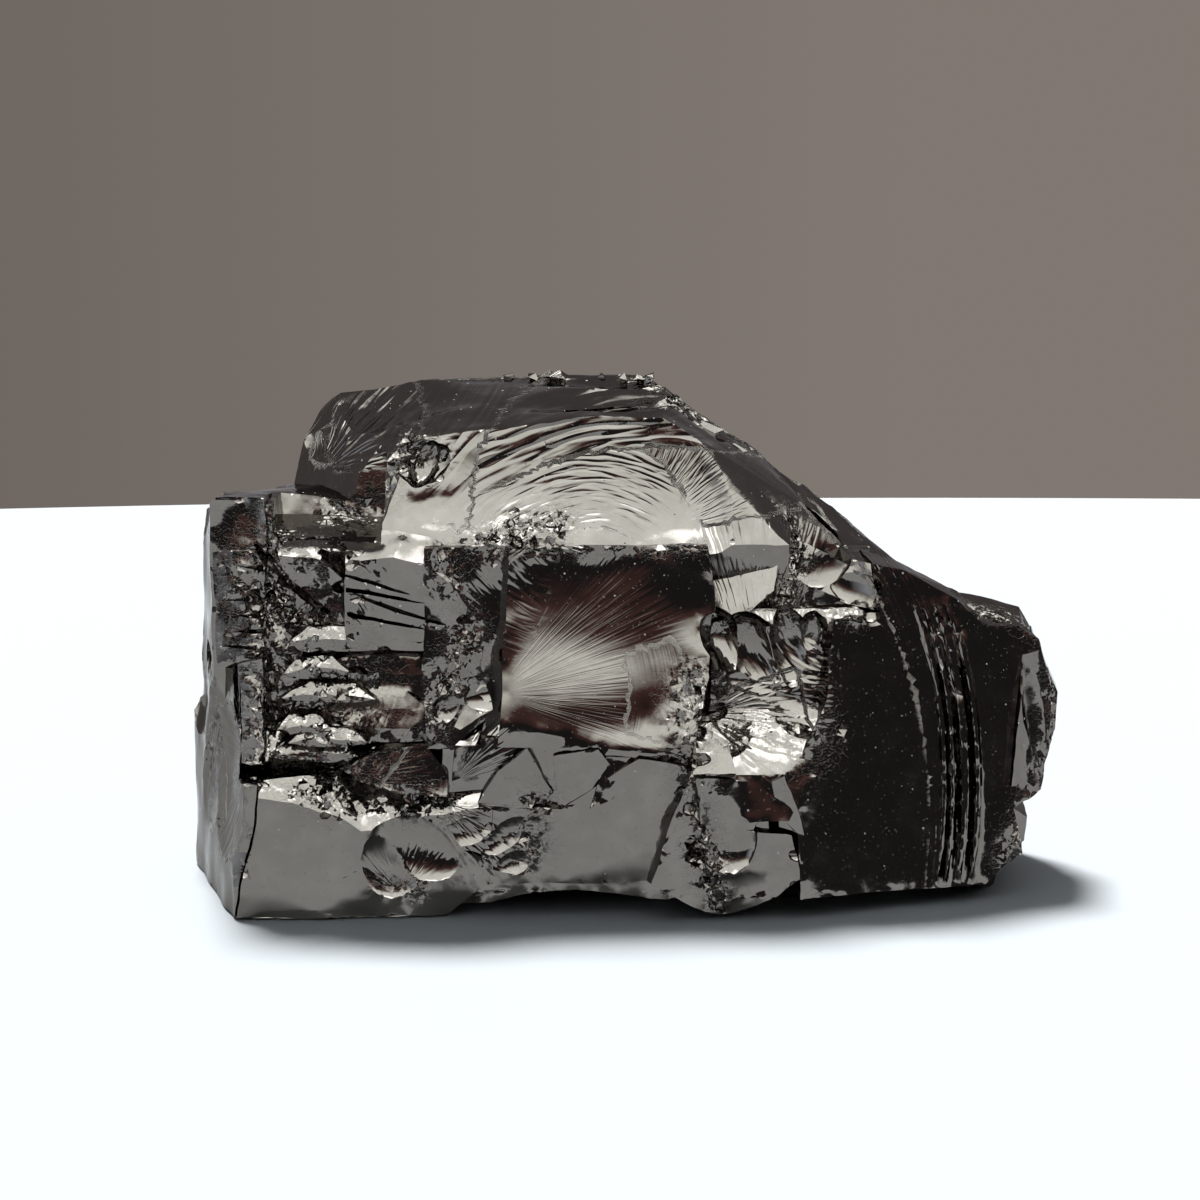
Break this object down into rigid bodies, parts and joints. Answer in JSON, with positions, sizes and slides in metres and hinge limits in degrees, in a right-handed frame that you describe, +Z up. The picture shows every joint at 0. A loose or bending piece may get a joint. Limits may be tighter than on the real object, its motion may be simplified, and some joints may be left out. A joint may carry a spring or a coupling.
{
  "type": "raw shungite stone",
  "caption": "Raw piece of noble shungite: a mirror-black stone with flat cleavage faces, shell-like hollows, stepped ledges and curved ribs, standing on a flat broken base.",
  "frame": {"origin": "under the middle of the stone's bounding box, on the surface it rests on", "axes": "+X along the longest side, towards the end with the large dark face; +Z up; the best broken side faces -Y"},
  "size_m": [0.0614, 0.0344, 0.035],
  "materials": {
    "shungite": "polished"
  },
  "bodies": {
    "root": {"shungite_stone": "shungite"}
  },
  "joints": []
}
